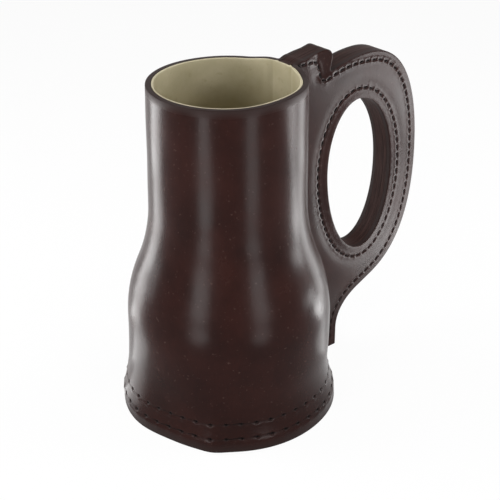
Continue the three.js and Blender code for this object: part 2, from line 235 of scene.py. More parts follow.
# Mesh spacing
ROW_STEP = 3.6 * MM
STITCH_ROW_STEP = 0.45 * MM
STITCH_REACH = 2.4 * MM
STITCH_ZONE = (LOWER_ROW - STITCH_REACH, UPPER_ROW + STITCH_REACH)
BEND_STEPS = 8
BACK_ROWS = 12
OUTLINE_STEP = 0.8 * MM
FACE_STEP = 1.8 * MM
FOLD_COLUMNS = (0.6 * MM, 1.2 * MM, 2 * MM)
EDGE_RINGS = (0.55 * MM, 1.4 * MM)
WALL_CUTS = 40
FACE_CLEAR = 0.5 * MM
TRACE_STEP = 0.25 * MM
ACROSS = [offset * MM for offset in (-1.7, -1.2, -0.85, -0.55, -0.28, 0, 0.28, 0.55, 0.85, 1.2, 1.7)]
HANDLE_SHARES = (0, 0.06, 0.12, 0.18, 0.24, 0.31, 0.4, 0.5, 0.6, 0.69, 0.76, 0.82, 0.88, 0.94)
BASE_SHARES = (0, 0.04, 0.08, 0.14, 0.3, 0.5, 0.7, 0.86, 0.92, 0.96)
MERGE = 0.02 * MM
LEAST_MITRE = 0.5
INSIDE_TRIANGLES = 1
FILL_TOLERANCE = 1e-9
SHARP_ANGLE = math.radians(40)
BASE_FLAT_STEPS = 6
BASE_BEND_STEPS = 6
BASE_FLANGE_STEPS = 8
BASE_TURN_STEPS = 144

# Coat inside the cup
COAT = 1 * MM
COAT_DROP = 0.08 * MM
COAT_FILLET = 5 * MM
COAT_ROUND = 0.35 * MM
COAT_WAVER = 0.3 * MM
COAT_LUMPS = 2.2
COAT_LUMPS_UP = 38
COAT_FINE_LUMPS = 3.1
COAT_FINE_SHARE = 0.4
COAT_SAG = 0.4 * MM
COAT_SAG_SCALE = 60
COAT_SAG_LAYER = 50 * MM
COAT_CREASE = 0.45 * MM
COAT_CREASE_WIDTH = math.radians(2.2)
COAT_RIDGE = 0.35 * MM
COAT_RIDGE_PLACE = 1.35
COAT_RIDGE_WIDTH = math.radians(3)
COAT_FLOOR_ROWS = 8
COAT_FILLET_ROWS = 6
COAT_INSIDE_ROWS = 56
COAT_ROUND_ROWS = 4
COAT_OUTSIDE_ROWS = 12
COAT_TURN_STEPS = 72
CORE_STEPS = 3
RIB_EDGE = 0.6 * MM
RIB_STEPS = 6
RIB_CORNER_SHARE = 0.15
RIB_START_SHARE = 0.25

# Colours as seen on screen, red, green and blue from 0 to 255
HIDE_DARK = (28, 10, 7)
HIDE_LIGHT = (39, 16, 12)
HIDE_SPECK = (96, 76, 70)
HIDE_EDGE = (34, 22, 20)
# Painted shade, near black, for the stitch beds, pits and creases, and for the crease where a bend meets
# its cheek
HIDE_PAINTED_SHADE = (5, 3, 3)
CUT_DARK = (34, 21, 19)
CUT_LIGHT = (54, 37, 34)
CREAM_DARK = (166, 157, 126)
CREAM_LIGHT = (188, 179, 150)
# Painted shade for the coat lower in the cup: darker and yellower
CREAM_PAINTED_SHADE = (120, 99, 48)
CREAM_SPOT = (140, 124, 88)
THREAD_DARK = (9, 6, 6)
THREAD_LIGHT = (26, 17, 16)

# Finishes: roughness from and to, bump as (strength, depth) and specular level
HIDE_ROUGHNESS = (0.21, 0.28)
HIDE_BUMP = (0.22, 0.12 * MM)
HIDE_GLOSS = 0.1
CUT_ROUGHNESS = (0.48, 0.6)
CUT_BUMP = (0.35, 0.15 * MM)
CUT_GLOSS = 0.05
CREAM_ROUGHNESS = (0.38, 0.5)
CREAM_BUMP = (0.25, 0.2 * MM)
CREAM_GLOSS = 0.4
THREAD_ROUGHNESS = (0.5, 0.7)
THREAD_BUMP = (0.3, 0.1 * MM)
THREAD_GLOSS = 0.04

# Patterns in the finishes: scales per metre, and the part of a pattern's range that is used
TONE_RANGE = (0.3, 0.7)
GRAIN_CELLS = 1100
GRAIN_BEAD = 0.6
GRAIN_CREASES = 0.22
PORE_SCALE = 620
PORE_RANGE = (0.66, 0.76)
TONE_SCALE = 48
TONE_ROUGHNESS = 0.62
SPECK_SHARE = 0.22
SEAM_DULLNESS = 0.6
EDGE_DULLNESS = 0.3
STREAK_SQUEEZE = (1.0, 14.0, 1.0)
STREAK_SCALE = 90
STREAK_RANGE = (0.35, 0.68)
CLOUD_SCALE = 55
CLOUD_ROUGHNESS = 0.6
# Where the coat's painted shade starts and ends going down the cup, and its share at the end
PAINTED_SHADE_START = BODY_HEIGHT - 10 * MM
PAINTED_SHADE_END = BODY_HEIGHT - 46 * MM
PAINTED_SHADE_SHARE = 0.9
SPOT_SCALE = 320
SPOT_RANGE = (0.62, 0.75)
SPOT_SHARE = 0.3
FIBRE_SCALE = 1800
FIBRE_RANGE = (0.4, 0.75)

# Camera, fitted to the photograph's view of the body
CAMERA_PLACE = Vector((-320.4, -397.0, 348.5)) * MM
CAMERA_FORWARD = Vector((0.5695, 0.6772, -0.4659))
CAMERA_LENS = 86.4
SENSOR = 36

# Floor, backdrop and softboxes
UP = Vector((0, 0, 1))
WHITE = (1, 1, 1, 1)
FLOOR_SIZE = 6
FLOOR_TONE = (0.86, 0.86, 0.86, 1)
FLOOR_ROUGHNESS = 0.9
FLOOR_GLOW = 0.94
SKY_STRENGTH = 0.16
TOP_HEIGHT = 0.9
TOP_SIZE = 0.5
TOP_RADIANCE = 0.8
FRONT_REACH = 0.45
FRONT_HEIGHT = 0.85
FRONT_SIZE = 0.3
FRONT_RADIANCE = 3.3
SIDE_AZIMUTH = 95
SIDE_REACH = 0.6
SIDE_HEIGHT = 0.66
SIDE_SIZE = 0.35
SIDE_RADIANCE = 6.5

# Floor lamps that the wall mirrors: name, degrees to the right of the camera, the wall's radius there,
# and parts away from the body as (near, far, width, radiance)
WALL_LAMPS = [
    ("left_belly", -122, BELLY_RADIUS, [(0.02, 0.05, 0.028, 2), (0.05, 0.11, 0.045, 3.2)]),
    ("left_shoulder", -122, NECK_RADIUS, [(0.11, 0.2, 0.055, 7)]),
    ("left_neck", -120.5, NECK_RADIUS, [
        (0.2, 0.3, 0.095, 8),
        (0.3, 0.45, 0.15, 11),
        (0.45, 0.58, 0.21, 11),
    ]),
    ("right_belly", 130, BELLY_RADIUS, [(0.05, 0.12, 0.028, 2), (0.12, 0.2, 0.045, 2)]),
    ("right_neck", 126, NECK_RADIUS, [
        (0.2, 0.3, 0.07, 5.2),
        (0.3, 0.45, 0.13, 5.2),
        (0.45, 0.58, 0.2, 5.2),
    ]),
    ("front_left", -33, NECK_RADIUS, [(0.19, 0.25, 0.055, 8.2), (0.25, 0.58, 0.11, 7.6)]),
    ("front_right", 34, NECK_RADIUS, [(0.19, 0.25, 0.055, 6), (0.25, 0.58, 0.11, 5.6)]),
]

# Floor lamps that the cheek mirrors: name, distance beyond the finger hole's middle, and parts
CHEEK_LAMPS = [
    ("cheek_near", 34 * MM, [(0.038, 0.07, 0.036, 14), (0.07, 0.12, 0.05, 15)]),
    ("cheek_middle", 62 * MM, [(0.07, 0.2, 0.06, 10)]),
    ("cheek_far", 82 * MM, [(0.22, 0.31, 0.1, 13), (0.31, 0.48, 0.18, 15.5)]),
]
CHEEK_AZIMUTH = 86
CHEEK_LAMP_GAP = 14 * MM
PANEL_LIFT = 1 * MM

# Upright lamps: name, degrees to the right of the camera, distance, low and high end, width, radiance
UPRIGHT_LAMPS = [
    ("left_strip", -106, 0.5, 0, 0.5, 0.25, 4),
    ("right_strip", 121, 0.55, 0, 0.5, 0.13, 3.8),
    ("front_left_strip", -33, 0.55, 0.04, 0.35, 0.16, 9),
    ("front_right_strip", 35, 0.55, 0.04, 0.35, 0.16, 7.5),
]


def smooth(share):
    share = min(1.0, max(0.0, share))
    return share * share * (3 - 2 * share)


def hump(distance, width):
    return math.exp(-((distance / width) ** 2))


def steps(start, end, count):
    """Values from start to end in that many even steps, both ends included."""
    return [start + (end - start) * i / count for i in range(count + 1)]


def turned(u, v, angle):
    """A flat pair of lengths, seen from axes turned by an angle."""
    return u * math.cos(angle) + v * math.sin(angle), v * math.cos(angle) - u * math.sin(angle)


def polar(radius, turn, z=0.0):
    return Vector((radius * math.cos(turn), radius * math.sin(turn), z))


# Wall and bends
def arc_climb(rise, run, along):
    """Climb of a round arc that starts level and rises by rise over run."""
    radius = (run * run + rise * rise) / (2 * rise)
    return radius - math.sqrt(radius * radius - along * along)


def wall_radius(z):
    """Outside radius of the wall at a height."""
    if z <= FOOT_EDGE:
        return FOOT_RADIUS
    if z < FLARE_TOP:
        return BELLY_RADIUS + arc_climb(FOOT_RADIUS - BELLY_RADIUS, FLARE_TOP - FOOT_EDGE, FLARE_TOP - z)
    if z <= SHOULDER_BOTTOM:
        return BELLY_RADIUS
    if z < SHOULDER_TOP:
        run = (SHOULDER_TOP - SHOULDER_BOTTOM) / 2
        step = (BELLY_RADIUS - NECK_RADIUS) / 2
        if z < SHOULDER_BOTTOM + run:
            return BELLY_RADIUS - arc_climb(step, run, z - SHOULDER_BOTTOM)
        return NECK_RADIUS + arc_climb(step, run, SHOULDER_TOP - z)
    share = min(1.0, (z - SHOULDER_TOP) / (BODY_HEIGHT - SHOULDER_TOP))
    return NECK_RADIUS + (RIM_RADIUS - NECK_RADIUS) * share


def bend_x(z):
    """Distance of the bend's centre line from the body axis, where the flat cheek starts."""
    reach = wall_radius(z) + BEND_RADIUS
    return math.sqrt(reach * reach - BEND_OFFSET * BEND_OFFSET)


def bend_angle(z):
    return math.asin(BEND_OFFSET / (wall_radius(z) + BEND_RADIUS))


def rim_climb(turn):
    """How far the hand-cut rim stands over its level, by the angle round the body."""
    near = smooth((RIM_CLIMB_START - math.acos(math.cos(turn))) / RIM_CLIMB_SPAN)
    swell = RIM_SWELL * hump(turn - RIM_SWELL_TURN, RIM_SWELL_SPREAD)
    return RIM_CLIMB * near + swell * (1 - near)


def rim_height(x):
    """Height of the rim beside the handle, where it climbs on to the lug."""
    share = min(1.0, max(0.0, (x - RIM_RADIUS) / LUG_RAMP))
    return BODY_HEIGHT + RIM_CLIMB + (LUG_RAMP_RISE - RIM_CLIMB) * (1 - (1 - share) ** 2)


def out_of_round(turn, z):
    """How far the hand-formed wall stands outside a true circle; nothing beside the handle."""
    clear = smooth((1 - math.cos(turn)) / TRUE_BESIDE_HANDLE)
    low = smooth(1 - z / SHOULDER_BOTTOM)
    flat = FOOT_FLAT * hump(turn - FOOT_FLAT_TURN, FOOT_FLAT_SPREAD)
    corner = FOOT_CORNER * hump(turn - FOOT_CORNER_TURN, FOOT_CORNER_SPREAD)
    lean = FLARE_SHIFT * math.cos(turn - FLARE_SHIFT_TURN)
    lean *= hump(z - FLARE_SHIFT_HEIGHT, FLARE_SHIFT_SPREAD)
    place = polar(1, turn, z * WAVER_SCALE)
    return clear * (low * (corner - flat) + lean + WAVER * noise.noise(place * WAVER_LUMPS))


def wall_turn(share, z):
    start = bend_angle(z)
    return start + 2 * (math.pi - start) * share


def wall_point(share, z, depth, rise=0.0):
    turn = wall_turn(share, z)
    return polar(wall_radius(z) - depth + out_of_round(turn, z) + rise, turn, z)


def bend_point(side, share, z, depth):
    """Point of the bend, from the cheek at share 0 to the wall at share 1."""
    turn = math.pi / 2 + (bend_angle(z) - math.pi / 2) * share
    reach = BEND_RADIUS + depth
    return Vector((bend_x(z) - reach * math.cos(turn), side * (BEND_OFFSET - reach * math.sin(turn)), z))


# Outlines seen from the side, as points (x, z)
def on_curve(controls, share):
    while len(controls) > 1:
        controls = [a.lerp(b, share) for a, b in zip(controls, controls[1:])]
    return controls[0]


def trace(curves, step):
    """Points along curves that follow one another, each given by its control points."""
    points = [Vector(curves[0][0])]
    for controls in curves:
        controls = [Vector(c) for c in controls]
        length = sum((b - a).length for a, b in zip(controls, controls[1:]))
        count = max(2, round(length / step))
        points += [on_curve(controls, share) for share in steps(0, 1, count)[1:]]
    return points


def spaced(points, step):
    """Even steps along a line of points, as near to that length as fits."""
    ends = [0.0]
    for a, b in zip(points, points[1:]):
        ends.append(ends[-1] + (b - a).length)
    made = []
    place = 0
    for wanted in steps(0, ends[-1], round(ends[-1] / step)):
        while place < len(points) - 2 and ends[place + 1] < wanted:
            place += 1
        share = (wanted - ends[place]) / (ends[place + 1] - ends[place])
        made.append(points[place].lerp(points[place + 1], share))
    return made


def grip_edge():
    """Outer edge of the handle, from the foot of the flange up to the crown."""
    foot = (FLANGE_REACH, FLANGE_LIFT)
    straight = (FLANGE_REACH, FLANGE_LIFT + FLANGE_STRAIGHT)
    knee = (FLANGE_REACH, HEEL.y - (HEEL.x - FLANGE_REACH) * HEEL_SLOPE)
    spread_x = FLANGE_REACH + FLANGE_SPREAD
    spread = (spread_x, HEEL.y - (HEEL.x - spread_x) * HEEL_SLOPE)
    pull = HEEL_FULLNESS * (HANDLE_REACH - HEEL.x)
    grip = (HANDLE_REACH, HOLE_Z)
    return [
        [foot, straight],
        [straight, knee, spread],
        [spread, tuple(HEEL)],
        [
            tuple(HEEL),
            (HEEL.x + pull, HEEL.y + pull * HEEL_SLOPE),
            (HANDLE_REACH, HOLE_Z + (HEEL.y - HOLE_Z) * GRIP_FULLNESS),
            grip,
        ],
        [
            grip,
            (HANDLE_REACH, HOLE_Z + (CROWN.y - HOLE_Z) * CROWN_FULLNESS),
            (CROWN.x + (HANDLE_REACH - CROWN.x) * CROWN_FULLNESS, CROWN.y),
            tuple(CROWN),
        ],
    ]


def lug_edge():
    """The rest of that edge, from the crown over the notch and the lug to the rim at the bend."""
    foot_x = LUG_REACH - LUG_LEAN
    notch_x = foot_x + NOTCH_FILLET
    ramp_end = (RIM_RADIUS + LUG_RAMP, BODY_HEIGHT + LUG_RAMP_RISE)
    rim_x = bend_x(BODY_HEIGHT)
    return [
        [tuple(CROWN), ((CROWN.x + notch_x) / 2, CROWN.y), (notch_x, NOTCH_FLOOR)],
        [(notch_x, NOTCH_FLOOR), (foot_x, NOTCH_FLOOR), (foot_x, NOTCH_FLOOR + NOTCH_FILLET)],
        [(foot_x, NOTCH_FLOOR + NOTCH_FILLET), (LUG_REACH, LUG_TOP - LUG_CORNER)],
        [(LUG_REACH, LUG_TOP - LUG_CORNER), (LUG_REACH, LUG_TOP), (LUG_REACH - LUG_CORNER, LUG_TOP)],
        [(LUG_REACH - LUG_CORNER, LUG_TOP), ramp_end],
        [ramp_end, ((ramp_end[0] + rim_x) / 2, ramp_end[1]), (rim_x, rim_height(rim_x))],
    ]


def cheek_edge():
    """The whole free edge of a cheek, from the foot at the bend round to the rim at the bend."""
    root = bend_x(0) + FLANGE_ROOT
    foot = [
        [(bend_x(0), 0), (root, 0)],
        [(root, 0), (root, FLANGE_LIFT)],
        [(root, FLANGE_LIFT), (FLANGE_REACH, FLANGE_LIFT)],
    ]
    return foot + grip_edge() + lug_edge()


def hole_loop(margin, step):
    """The finger hole, or a larger oval at a margin round it, without its closing point."""
    wide = HOLE_WIDTH / 2 + margin
    count = round(math.pi * (wide + HOLE_HALF + margin) / step)
    points = []
    for i in range(count):
        turn = 2 * math.pi * i / count
        tall = HOLE_HALF + margin - math.copysign(HOLE_WIDEST_RISE, math.sin(turn))
        u = wide * math.cos(turn)
        v = HOLE_WIDEST_RISE + tall * math.sin(turn)
        lean_u, lean_v = turned(u, v, -HOLE_LEAN)
        points.append(Vector((HOLE_X + lean_u, HOLE_Z + lean_v)))
    return points


def inset(points, distance, closed):
    """The line moved to its left; the ends of an open line keep their x and move straight up or down."""
    moved = []
    last = len(points) - 1
    for i, point in enumerate(points):
        before = points[i - 1] if closed or i > 0 else None
        after = points[(i + 1) % len(points)] if closed or i < last else None
        if before is None or after is None:
            moved.append(point + Vector((0, distance if before is None else -distance)))
            continue
        arriving = (point - before).normalized()
        leaving = (after - point).normalized()
        left = Vector((-arriving.y - leaving.y, arriving.x + leaving.x)).normalized()
        mitre = max(LEAST_MITRE, left.dot(Vector((-arriving.y, arriving.x))))
        moved.append(point + left * (distance / mitre))
    return moved


# Stitch rows on a cheek, as points (x, z) at the holes, and what they press into it
def tree_of(points):
    tree = kdtree.KDTree(len(points))
    for i, p in enumerate(points):
        tree.insert((p.x, p.y, 0), i)
    tree.balance()
    return tree


def gap_to(tree, p):
    return tree.find((p.x, p.y, 0))[2]


def edge_row():
    """Row along the outer edge: the grip's edge moved inward, then up the lug and along its top."""
    edge = trace(grip_edge(), TRACE_STEP)
    tree = tree_of(edge)
    line = []
    for p in inset(edge, EDGE_MARGIN, False)[1:-1]:
        if p.y > FLANGE_LIFT + EDGE_MARGIN and gap_to(tree, p) > EDGE_MARGIN - ROW_SLACK:
            line.append(p)
    corner = (LUG_REACH - LUG_ROW_FOOT, NOTCH_FLOOR - LUG_ROW_DROP)
    head = (LUG_REACH - LUG_ROW_HEAD, LUG_TOP - EDGE_MARGIN)
    end = (bend_x(head[1]) + ROW_START, head[1])
    pull = ((CROWN.x + corner[0]) / 2, CROWN.y - CROWN_ROW_PULL)
    line += trace([[tuple(line[-1]), pull, corner], [corner, head], [head, end]], TRACE_STEP)[1:]
    return spaced(line, HANDLE_PITCH)


def hole_row():
    loop = [p - Vector((HOLE_ROW_SHIFT, 0)) for p in hole_loop(HOLE_MARGIN, TRACE_STEP)]
    loop.append(loop[0])
    return spaced(loop, HANDLE_PITCH)


def pulled(gap, margin, depth, curl):
    """Fall of the leather beside an edge that is sewn at a margin: curled up at it, lowest at the row."""
    if gap < margin:
        share = gap / margin
        return depth * share - curl * (1 - share)
    return depth * (1 - smooth((gap - margin) / ROW_PULL_REACH))


class CheekRelief:
    """What the edges and the stitch rows press into the flat of a cheek."""

    def __init__(self, rows):
        self.edge = tree_of(trace(cheek_edge(), TRACE_STEP))
        self.hole = tree_of(hole_loop(0, TRACE_STEP))
        self.samples = []
        shares = steps(0, 1, round(HANDLE_PITCH / TRACE_STEP))[:-1]
        for holes in rows:
            for a, b in zip(holes, holes[1:]):
                along = (b - a).normalized()
                self.samples += [(a.lerp(b, share), along, a, (b - a).length) for share in shares]
        self.rows = tree_of([sample[0] for sample in self.samples])

    def margins(self, p):
        """Height of the leather round the stitches: pulled down along a row, standing up beside it."""
        edge_gap = gap_to(self.edge, p)
        hole_gap = gap_to(self.hole, p)
        fall = -EDGE_RISE * max(0.0, 1 - edge_gap / EDGE_MARGIN) ** EDGE_EASE
        turn = math.atan2(p.y - HOLE_Z, p.x - HOLE_X)
        fall += pulled(hole_gap, HOLE_MARGIN, ROW_PULL, HOLE_CURL) * (1 - math.cos(turn)) / 2
        row_foot = NOTCH_FLOOR - LUG_ROW_DROP
        row_head = LUG_TOP - EDGE_MARGIN
        on_lug = smooth((p.y - row_foot) / LUG_ROW_DROP)
        on_lug *= smooth((LUG_REACH - p.x) / LUG_FADE + 1)
        climb = min(1.0, max(0.0, (p.y - row_foot) / (row_head - row_foot)))
        row_gap = LUG_ROW_FOOT + (LUG_ROW_HEAD - LUG_ROW_FOOT) * climb
        fall += pulled(max(0.0, LUG_REACH - p.x), row_gap, LUG_PULL, LUG_CURL) * on_lug
        room = min(edge_gap - EDGE_MARGIN, hole_gap - HOLE_MARGIN)
        return PILLOW * smooth(room / PILLOW_RISE) - fall

    def ramp(self, p):
        """How much of the relief there is: none where the cheek meets its bend."""
        return smooth((p.x - bend_x(p.y)) / BEND_FADE)

    def at(self, p):
        """Height over the flat, and the painted shade of its stitch bed and crease, from 0 to 1."""
        _, place, _ = self.rows.find((p.x, p.y, 0))
        _, along, hole, pitch = self.samples[place]
        offset = p - hole
        travel = offset.dot(along) - pitch / 2
        across = offset.dot(Vector((-along.y, along.x)))
        bed_u, bed_v = turned(travel, across, STITCH_SLANT)
        bed = math.exp(-((bed_u / BED_HALF) ** BED_SQUARENESS)) * hump(bed_v, BED_WIDTH)
        gone = abs(travel) / pitch
        crease = hump(across, CREASE_WIDTH) * smooth((CREASE_END - gone) / CREASE_FADE)
        lip = hump(abs(across) - LIP_REACH, LIP_WIDTH) * smooth((LIP_END - gone) / LIP_FADE)
        bridge = hump(abs(travel) - pitch / 2, BRIDGE_LENGTH) * hump(across, LIP_REACH)
        sewn = LIP * lip + BRIDGE * bridge - CREASE * crease - BED * bed
        ramp = self.ramp(p)
        return ramp * (self.margins(p) + sewn), ramp * min(1.0, CREASE_SHADE * crease + bed)


def base_relief(share, z):
    """What the two rows round the foot press into the wall: height, and painted shade in their pits and
    creases.
    """
    height = 0.0
    seam = 0.0
    travel = share * BASE_STITCHES
    pitch = 2 * math.pi * wall_radius(z) / BASE_STITCHES
    travel = (travel - round(travel)) * pitch
    for row in (UPPER_ROW, LOWER_ROW):
        across = z - row
        if abs(across) > BASE_RELIEF_REACH:
            continue
        pit = hump(travel, PIT_LENGTH) * hump(across, PIT_WIDTH)
        crease = hump(across, CREASE_WIDTH)
        lip = hump(across + LIP_REACH, BASE_LIP_WIDTH) * hump(travel, BASE_LIP_LENGTH)
        height += BASE_LIP * lip - CREASE * crease - PIT * pit
        seam += BASE_CREASE_SHADE * crease + pit
    return height, min(1.0, seam)


# Mesh helpers
def edge_profile():
    """Steps over a cut edge, from the face to the back, as (distance in from the edge, depth)."""
    profile = []
    for turn in steps(0, math.pi / 2, FACE_ROUND_STEPS):
        profile.append((FACE_ROUND * (1 - math.sin(turn)), FACE_ROUND * (1 - math.cos(turn))))
    for turn in steps(0, math.pi / 2, BACK_ROUND_STEPS):
        profile.append((BACK_ROUND * (1 - math.cos(turn)), LEATHER - BACK_ROUND * (1 - math.sin(turn))))
    return profile


def ring_faces(start, rings, count, closed=True):
    """Quads between rings of count points, which follow one another from the point start."""
    faces = []
    for r in range(rings - 1):
        for i in range(count if closed else count - 1):
            a = start + r * count + i
            b = start + r * count + (i + 1) % count
            faces.append((a, b, b + count, a + count))
    return faces


def shifted(faces, start):
    return [tuple(start + i for i in face) for face in faces]


def new_object(name, data):
    obj = bpy.data.objects.new(name, data)
    bpy.context.scene.collection.objects.link(obj)
    return obj


def only(obj):
    """Makes one object the selected and active one."""
    bpy.ops.object.select_all(action="DESELECT")
    obj.select_set(True)
    bpy.context.view_layer.objects.active = obj


def edit(obj):
    """Starts an edit of all of one mesh."""
    only(obj)
    bpy.ops.object.mode_set(mode="EDIT")
    bpy.ops.mesh.select_all(action="SELECT")


def seal():
    """Ends an edit, with doubles merged and faces pointing out."""
    bpy.ops.mesh.select_all(action="SELECT")
    bpy.ops.mesh.remove_doubles(threshold=MERGE)
    bpy.ops.mesh.normals_make_consistent(inside=False)
    bpy.ops.object.mode_set(mode="OBJECT")


def settle(obj):
    """Moves a mesh to its place in the frame and shades it, with its sharp edges kept."""
    obj.data.transform(TO_FRAME)
    bpy.ops.object.shade_smooth_by_angle(angle=SHARP_ANGLE)
    return obj


def mesh_object(name, points, faces, marks=None):
    """Closed mesh from points and faces, with its doubles merged and its faces pointing out."""
    mesh = bpy.data.meshes.new(name)
    mesh.from_pydata(points, [], faces)
    for label, values in (marks or {}).items():
        attribute = mesh.attributes.new(label, "FLOAT", "POINT")
        attribute.data.foreach_set("value", values)
    obj = new_object(name, mesh)
    edit(obj)
    bpy.ops.mesh.delete_loose(use_verts=True, use_edges=True, use_faces=False)
    seal()
    return settle(obj)


def seat(obj, slot, material, *nodes):
    """Puts a finished piece on the body in place of the solids that it shows."""
    obj.data.materials.clear()
    obj.data.materials.append(material)
    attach(obj, "root")
    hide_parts(*nodes)


# The wrap: wall, bends and cheeks as one sheet
def outer_heights():
    """Heights of the rows on the outside of the wall, close together where it is sewn."""
    low, high = STITCH_ZONE
    heights = []
    for start, end, step in (
        (FACE_ROUND, low, ROW_STEP),
        (low, high, STITCH_ROW_STEP),
        (high, BODY_HEIGHT - FACE_ROUND, ROW_STEP),
    ):
        count = max(1, round((end - start) / step))
        heights += steps(start, end, count)[:-1]
    return heights[1:]


def wall_section():
    """The wall's closed section as (height, depth, edge), up the outside and down the inside."""
    profile = edge_profile()
    rim = [(BODY_HEIGHT - e, q, 1.0) for e, q in profile]
    foot = [(e, q, 1.0) for e, q in reversed(profile)]
    down = steps(BODY_HEIGHT - BACK_ROUND, BACK_ROUND, BACK_ROWS)[1:-1]
    back = [(z, LEATHER, 1.0) for z in down]
    return [(z, 0.0, 0.0) for z in outer_heights()] + rim + back + foot


def lifted(z, lift):
    """A height on the wall, moved where the rim climbs by lift."""
    return z + lift * smooth((z - BODY_HEIGHT + RIM_LIFT_DEPTH) / (RIM_LIFT_DEPTH - FACE_ROUND))


def wall_shares():
    shares = [(k + s) / BASE_STITCHES for k in range(BASE_STITCHES) for s in BASE_SHARES]
    return shares + [1.0]


def wrap_wall():
    """Points, faces and marks of the wall and both bends."""
    columns = [("bend", 1, share) for share in steps(0, 1, BEND_STEPS)[:-1]]
    columns += [("wall", 0, share) for share in wall_shares()]
    columns += [("bend", -1, share) for share in steps(1, 0, BEND_STEPS)[1:]]
    section = wall_section()
    points = []
    painted_shade = []
    edges = []
    for kind, side, share in columns:
        if kind == "bend":
            lift = rim_height(bend_point(1, share, BODY_HEIGHT, 0).x) - BODY_HEIGHT
        else:
            lift = rim_climb(wall_turn(share, BODY_HEIGHT))
        for z, depth, edge in section:
            # The seam mark is painted shade: on the wall in the pits and creases of the rows round the
            # foot, on the bend along its crease
            if kind == "bend":
                points.append(bend_point(side, share, lifted(z, lift), depth))
                painted_shade.append(hump(share, FOLD_SHADE_WIDTH) if depth == 0 else 0.0)
            else:
                rise, seam = base_relief(share, z) if depth == 0 else (0.0, 0.0)
                points.append(wall_point(share, lifted(z, lift), depth, rise))
                painted_shade.append(seam)
            edges.append(edge)
    return points, ring_faces(0, len(columns), len(section)), painted_shade, edges


def face_grid(relief, loops, rows):
    """Points on the flat of a cheek: fine ones along the stitch rows and an even grid elsewhere."""
    border = tree_of([p for loop in loops for p in loop])
    points = []
    for holes in rows:
        for a, b in zip(holes, holes[1:]):
            along = (b - a).normalized()
            left = Vector((-along.y, along.x))
            for share in HANDLE_SHARES:
                foot = a.lerp(b, share)
                for offset in ACROSS:
                    p = foot + left * offset
                    clear = gap_to(border, p) > FACE_CLEAR
                    if clear and gap_to(relief.rows, p) > abs(offset) - ROW_SLACK:
                        points.append(p)
    wide = math.ceil(HANDLE_REACH / FACE_STEP)
    tall = math.ceil(LUG_TOP / FACE_STEP)
    edge_clear = FACE_ROUND + EDGE_RINGS[-1] + FACE_CLEAR
    row_clear = ACROSS[-1] + FACE_CLEAR
    for i in range(wide):
        for k in range(tall):
            p = Vector(((i + 0.5 * (k % 2)) * FACE_STEP, k * FACE_STEP))
            clear = gap_to(border, p) > FACE_CLEAR and not in_hole(p)
            clear = clear and p.x - bend_x(p.y) > FOLD_COLUMNS[-1] + FACE_CLEAR
            clear = clear and gap_to(relief.edge, p) > edge_clear
            if clear and gap_to(relief.rows, p) > row_clear:
                points.append(p)
    beside = []
    for k in range(1, tall):
        z = k * FACE_STEP
        beside += [Vector((bend_x(z) + reach, z)) for reach in FOLD_COLUMNS]
    for reach in EDGE_RINGS:
        beside += inset(trace(cheek_edge(), OUTLINE_STEP), FACE_ROUND + reach, False)[1:-1]
    for p in beside:
        if gap_to(border, p) > FACE_CLEAR and gap_to(relief.rows, p) > row_clear:
            points.append(p)
    return points


def in_hole(p):
    """Whether a point lies in the finger hole or on its rounded edge."""
    edge = FACE_ROUND + FACE_CLEAR
    lean_u, lean_v = turned(p.x - HOLE_X, p.y - HOLE_Z, HOLE_LEAN)
    lean_v -= HOLE_WIDEST_RISE
    tall = HOLE_HALF + edge - math.copysign(HOLE_WIDEST_RISE, lean_v)
    return (lean_u / (HOLE_WIDTH / 2 + edge)) ** 2 + (lean_v / tall) ** 2 < 1


def filled(loops, extra):
    """Triangles between the outer loop and the hole's loop, through extra points."""
    points = []
    edges = []
    for loop in loops:
        start = len(points)
        points += loop
        edges += [(start + i, start + (i + 1) % len(loop)) for i in range(len(loop))]
    ring = range(start, len(points))
    found = delaunay_2d_cdt(points + extra, edges, [], INSIDE_TRIANGLES, FILL_TOLERANCE)
    made, _, triangles, sources, _, _ = found
    on_hole = [any(i in ring for i in source) for source in sources]
    return made, [tuple(face) for face in triangles if not all(on_hole[i] for i in face)]


